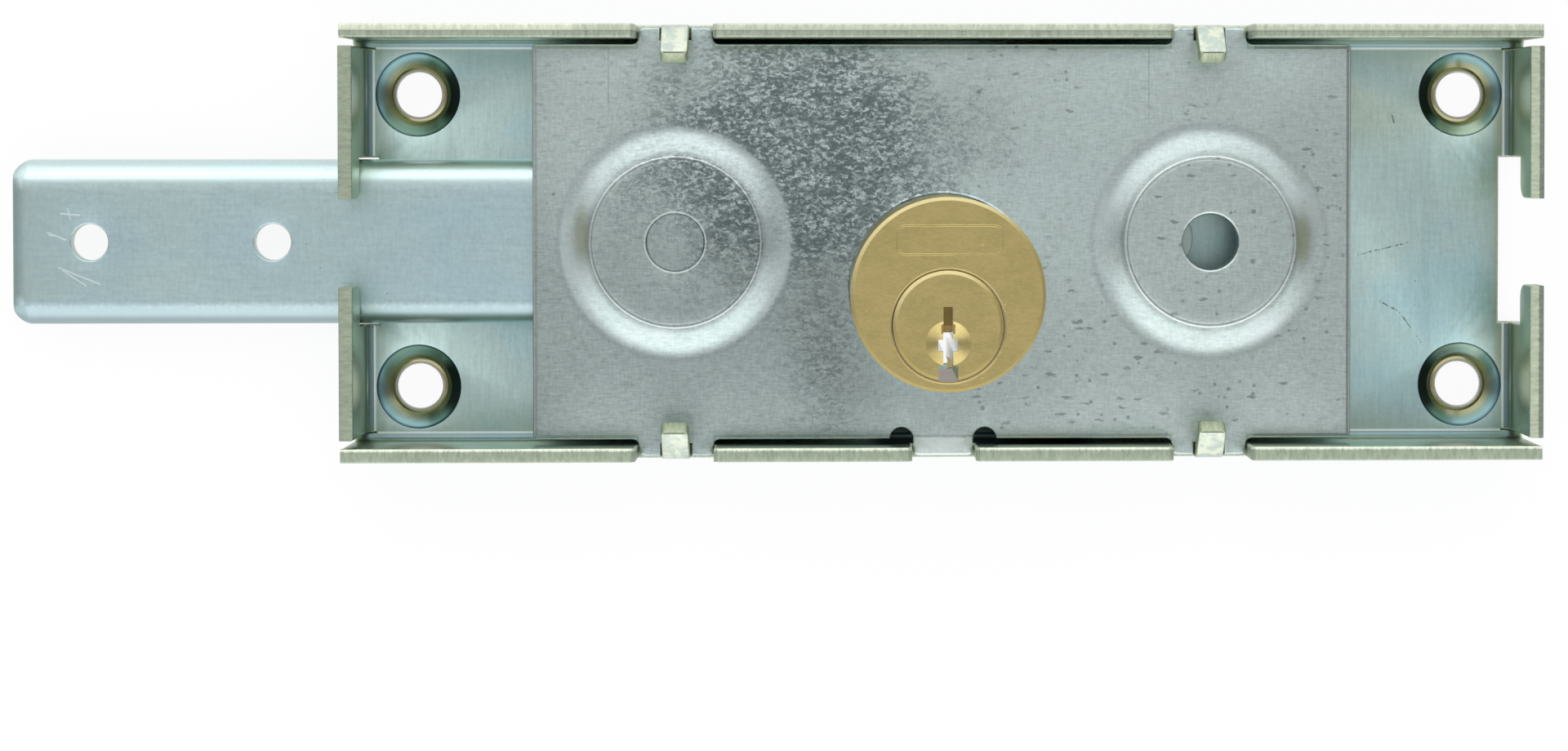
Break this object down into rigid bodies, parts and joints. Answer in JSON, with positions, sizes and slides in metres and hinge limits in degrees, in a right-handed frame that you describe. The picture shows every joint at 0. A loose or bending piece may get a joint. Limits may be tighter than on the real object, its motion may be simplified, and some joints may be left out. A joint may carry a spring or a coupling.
{
  "type": "roller shutter lock",
  "caption": "Surface roller shutter lock: open folded case, pressed cover, sliding channel bolt and an off-centre brass pin tumbler cylinder.",
  "frame": {"origin": "centre of the four fixing holes, on the case's flat back face", "axes": "+X along the bolt bar, away from its free end; +Y across the case, away from the plug's side; +Z out of the back, towards the key side"},
  "size_m": [0.1956, 0.0556, 0.0288],
  "materials": {
    "case_zinc": "pale zinc plating, slightly iridescent, with sheared edges",
    "cover_galvanised": "hot-dip galvanised sheet with a mottled spangle",
    "bar_zinc": "pale zinc plating with scratches",
    "body_brass": "satin turned brass",
    "plug_brass": "satin turned brass with a bright bevel",
    "pin_brass": "turned brass",
    "pin_steel": "turned steel",
    "spring_steel": "bright spring wire",
    "screw_steel": "zinc-plated steel"
  },
  "bodies": {
    "lock_case": {"case": "case_zinc", "cover_plate": "cover_galvanised", "cylinder_body": "body_brass", "chamber_slugs": "body_brass", "cylinder_screws": "screw_steel", "guide_pillars": "screw_steel", "pin_spring_1": "spring_steel", "pin_spring_2": "spring_steel", "pin_spring_3": "spring_steel", "pin_spring_4": "spring_steel", "pin_spring_5": "spring_steel"},
    "bolt": {"bolt_bar": "bar_zinc"},
    "plug": {"cylinder_plug": "plug_brass"},
    "key_pin_a": {"key_pin_1": "pin_brass"},
    "key_pin_b": {"key_pin_2": "pin_brass"},
    "key_pin_c": {"key_pin_3": "pin_brass"},
    "key_pin_d": {"key_pin_4": "pin_brass"},
    "key_pin_e": {"key_pin_5": "pin_brass"},
    "driver_a": {"driver_pin_1": "pin_steel"},
    "driver_b": {"driver_pin_2": "pin_steel"},
    "driver_c": {"driver_pin_3": "pin_steel"},
    "driver_d": {"driver_pin_4": "pin_steel"},
    "driver_e": {"driver_pin_5": "pin_steel"}
  },
  "joints": [
    {"name": "plug_turn", "type": "hinge", "parent": "lock_case", "child": "plug", "pos_m": [0, -0.0096, 0.0071], "axis": [0, 0, -1], "range_deg": [0, 360]},
    {"name": "bolt_slide", "type": "slide", "parent": "lock_case", "child": "bolt", "axis": [1, 0, 0], "range_m": [0, 0.04]},
    {"name": "key_pin_1_slide", "type": "slide", "parent": "plug", "child": "key_pin_a", "axis": [0, 1, 0], "range_m": [-0.0004, 0]},
    {"name": "key_pin_2_slide", "type": "slide", "parent": "plug", "child": "key_pin_b", "axis": [0, 1, 0], "range_m": [-0.0017, 0]},
    {"name": "key_pin_3_slide", "type": "slide", "parent": "plug", "child": "key_pin_c", "axis": [0, 1, 0], "range_m": [-0.0023, 0]},
    {"name": "key_pin_4_slide", "type": "slide", "parent": "plug", "child": "key_pin_d", "axis": [0, 1, 0], "range_m": [-0.0012, 0]},
    {"name": "key_pin_5_slide", "type": "slide", "parent": "plug", "child": "key_pin_e", "axis": [0, 1, 0], "range_m": [-0.002, 0]},
    {"name": "driver_1_slide", "type": "slide", "parent": "lock_case", "child": "driver_a", "axis": [0, 1, 0], "range_m": [0, 0.0013], "stiffness_N_per_m": 60, "springref_m": -0.002, "deforming": ["pin_spring_1"]},
    {"name": "driver_2_slide", "type": "slide", "parent": "lock_case", "child": "driver_b", "axis": [0, 1, 0], "range_m": [0, 0.0013], "stiffness_N_per_m": 60, "springref_m": -0.002, "deforming": ["pin_spring_2"]},
    {"name": "driver_3_slide", "type": "slide", "parent": "lock_case", "child": "driver_c", "axis": [0, 1, 0], "range_m": [0, 0.0013], "stiffness_N_per_m": 60, "springref_m": -0.002, "deforming": ["pin_spring_3"]},
    {"name": "driver_4_slide", "type": "slide", "parent": "lock_case", "child": "driver_d", "axis": [0, 1, 0], "range_m": [0, 0.0013], "stiffness_N_per_m": 60, "springref_m": -0.002, "deforming": ["pin_spring_4"]},
    {"name": "driver_5_slide", "type": "slide", "parent": "lock_case", "child": "driver_e", "axis": [0, 1, 0], "range_m": [0, 0.0013], "stiffness_N_per_m": 60, "springref_m": -0.002, "deforming": ["pin_spring_5"]}
  ],
  "couplings": [
    {"joint": "plug_turn", "follows": "bolt_slide", "rad_per_m": 157.08}
  ]
}
